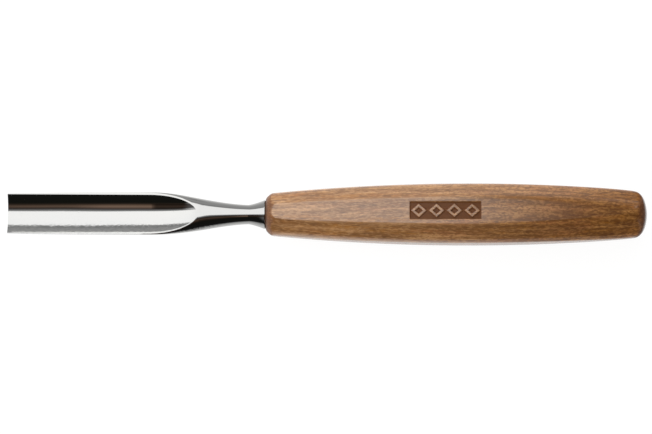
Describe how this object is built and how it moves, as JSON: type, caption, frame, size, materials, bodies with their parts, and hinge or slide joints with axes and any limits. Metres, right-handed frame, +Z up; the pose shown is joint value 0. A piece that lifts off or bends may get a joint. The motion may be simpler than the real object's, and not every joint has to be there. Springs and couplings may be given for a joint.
{
  "type": "straight carving gouge",
  "caption": "Hand carving gouge: polished steel blade with a shallow hollow flute, round neck and bolster, in an octagonal barrel-shaped beech handle.",
  "frame": {"origin": "centre of the tool's length and width, at the height of the handle's lowest facet", "axes": "+X from the cutting edge to the butt, along the tool's axis; +Z up, the way the flute opens; +Y across the blade"},
  "size_m": [0.262, 0.0246, 0.0246],
  "materials": {
    "steel": "mirror-polished tool steel",
    "ferrule_steel": "plain drawn steel tube",
    "handle_wood": "brown-stained beech under gloss lacquer"
  },
  "bodies": {
    "root": {"blade": "steel", "inner_ferrule": "ferrule_steel", "handle": "handle_wood"}
  },
  "joints": []
}
